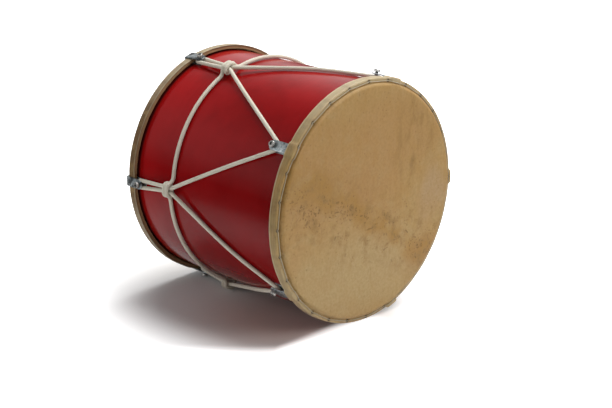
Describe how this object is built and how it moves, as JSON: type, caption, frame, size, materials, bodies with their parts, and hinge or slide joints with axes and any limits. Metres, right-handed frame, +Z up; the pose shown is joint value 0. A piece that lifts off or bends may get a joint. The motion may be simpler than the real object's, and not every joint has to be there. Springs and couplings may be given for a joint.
{
  "type": "double-headed drum",
  "caption": "Rope-tensioned double-headed drum with a lacquered wooden shell, rawhide heads on laced hoops, steel hooks and a girdle cord.",
  "frame": {"origin": "on the floor under the middle of the drum, as it lies on its side", "axes": "+X along the drum's axis towards the front head, +Z up"},
  "size_m": [0.322, 0.3678, 0.3501],
  "materials": {
    "lacquer": "gloss red lacquer over wood",
    "bare_wood": "bare sanded wood",
    "rawhide": "dry matt rawhide",
    "thread": "waxed off-white thread",
    "zinc_strap": "dull zinc-plated strap",
    "bolt_steel": "bright plated bolt",
    "rope": "off-white braided cord"
  },
  "bodies": {
    "drum": {"shell": "lacquer", "front_inner_ring": "bare_wood", "rear_inner_ring": "bare_wood", "front_hoop": "bare_wood", "rear_hoop": "bare_wood", "front_head": "rawhide", "rear_head": "rawhide", "front_lacing": "thread", "rear_lacing": "thread", "front_hook_1": "zinc_strap", "front_hook_2": "zinc_strap", "front_hook_3": "zinc_strap", "front_hook_4": "zinc_strap", "front_hook_5": "zinc_strap", "front_bolt_1": "bolt_steel", "front_bolt_2": "bolt_steel", "front_bolt_3": "bolt_steel", "front_bolt_4": "bolt_steel", "front_bolt_5": "bolt_steel", "rear_hook_1": "zinc_strap", "rear_hook_2": "zinc_strap", "rear_hook_3": "zinc_strap", "rear_hook_4": "zinc_strap", "rear_hook_5": "zinc_strap", "rear_bolt_1": "bolt_steel", "rear_bolt_2": "bolt_steel", "rear_bolt_3": "bolt_steel", "rear_bolt_4": "bolt_steel", "rear_bolt_5": "bolt_steel", "tension_rope": "rope"},
    "girdle": {"girdle_cord": "rope"}
  },
  "joints": [
    {"name": "girdle_tuning_slide", "type": "slide", "parent": "drum", "child": "girdle", "axis": [1, 0, 0], "range_m": [-0.015, 0.03], "deforming": ["tension_rope"]}
  ]
}
